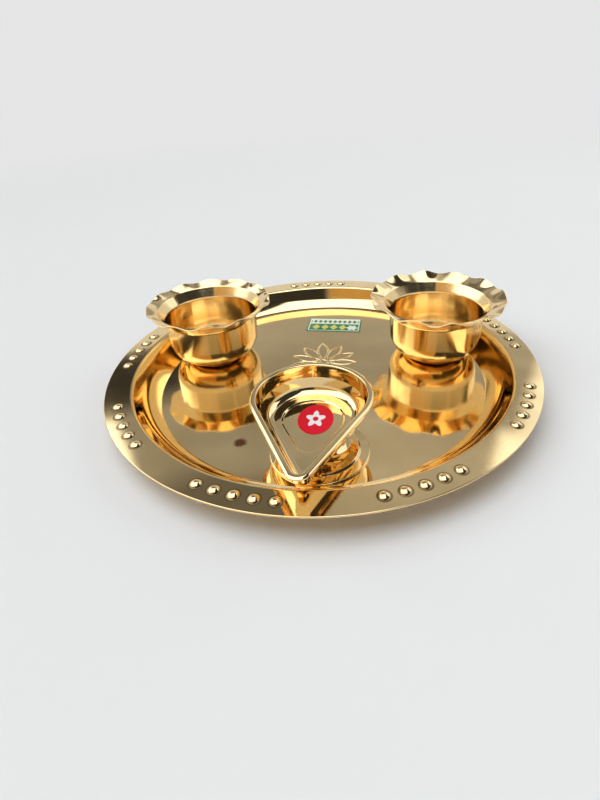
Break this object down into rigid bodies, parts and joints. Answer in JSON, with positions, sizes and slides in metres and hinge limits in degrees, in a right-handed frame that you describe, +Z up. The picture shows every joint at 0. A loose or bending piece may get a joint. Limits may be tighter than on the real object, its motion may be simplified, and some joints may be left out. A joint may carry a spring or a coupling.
{
  "type": "puja thali",
  "caption": "Round brass puja thali with a beaded rim, fluted cups and a teardrop oil lamp that lift off its polished floor.",
  "frame": {"origin": "middle of the plate's flat underside, on the surface it rests on", "axes": "+Z up out of the plate, -Y towards the lamp's spout and the viewer, +X to the viewer's right"},
  "size_m": [0.25, 0.25, 0.0412],
  "materials": {
    "plate_brass": "mirror polished pressed sheet",
    "cup_brass": "mirror polished spun sheet",
    "lamp_brass": "mirror polished pressed sheet",
    "label_paper": "printed paper label, satin",
    "dot_paper": "printed paper dot, satin"
  },
  "bodies": {
    "plate": {"thali_plate": "plate_brass", "plate_label": "label_paper"},
    "left_cup": {"left_cup": "cup_brass"},
    "right_cup": {"right_cup": "cup_brass"},
    "lamp": {"diya_pan": "lamp_brass", "diya_foot": "lamp_brass", "size_dot": "dot_paper"}
  },
  "joints": [
    {"name": "left_cup_lift", "type": "slide", "parent": "plate", "child": "left_cup", "axis": [0, 0, 1], "range_m": [0, 0.09]},
    {"name": "right_cup_lift", "type": "slide", "parent": "plate", "child": "right_cup", "axis": [0, 0, 1], "range_m": [0, 0.09]},
    {"name": "lamp_lift", "type": "slide", "parent": "plate", "child": "lamp", "axis": [0, 0, 1], "range_m": [0, 0.09]}
  ]
}
